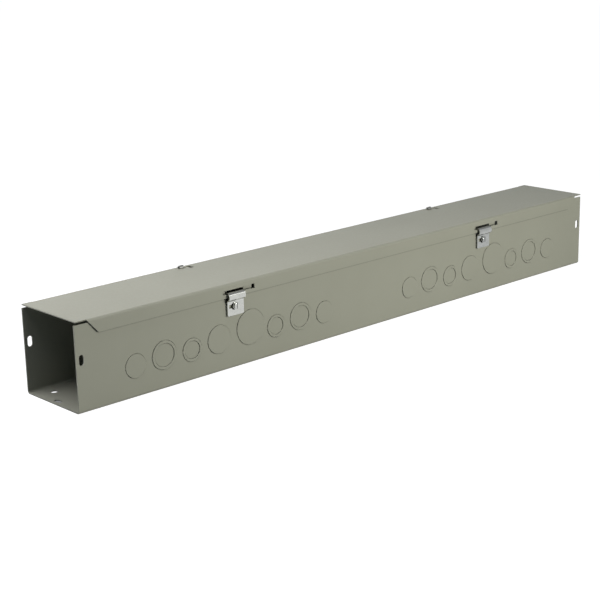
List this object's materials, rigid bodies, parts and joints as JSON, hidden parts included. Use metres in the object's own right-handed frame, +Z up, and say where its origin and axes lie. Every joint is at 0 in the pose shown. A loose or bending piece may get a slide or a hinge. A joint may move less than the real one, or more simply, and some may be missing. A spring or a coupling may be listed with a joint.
{
  "type": "hinged-cover wireway",
  "caption": "Square sheet-steel wireway with a hinged lay-in cover, zinc spring latches, captive screws and raised knockouts along both walls.",
  "frame": {"origin": "middle of the underside, on the level surface that the trough lies on", "axes": "+X along the trough, -Y towards the latch side, +Y towards the hinge side, +Z up out of the open top"},
  "size_m": [0.9144, 0.1159, 0.1111],
  "materials": {
    "enamel": "satin grey baked enamel",
    "zinc": "bright zinc plate"
  },
  "bodies": {
    "trough": {"trough": "enamel"},
    "cover": {"cover": "enamel", "hinge_clip_left": "zinc", "hinge_clip_right": "zinc"},
    "latch_left": {"latch_left": "zinc", "latch_screw_left": "zinc"},
    "latch_right": {"latch_right": "zinc", "latch_screw_right": "zinc"}
  },
  "joints": [
    {"name": "cover_hinge", "type": "hinge", "parent": "trough", "child": "cover", "pos_m": [0, 0.05155, 0.0884], "axis": [-1, 0, 0], "range_deg": [0, 100]},
    {"name": "latch_left_swing", "type": "hinge", "parent": "cover", "child": "latch_left", "pos_m": [-0.2286, -0.05395, 0.091], "axis": [-1, 0, 0], "range_deg": [0, 105]},
    {"name": "latch_right_swing", "type": "hinge", "parent": "cover", "child": "latch_right", "pos_m": [0.2286, -0.05395, 0.091], "axis": [-1, 0, 0], "range_deg": [0, 105]}
  ]
}
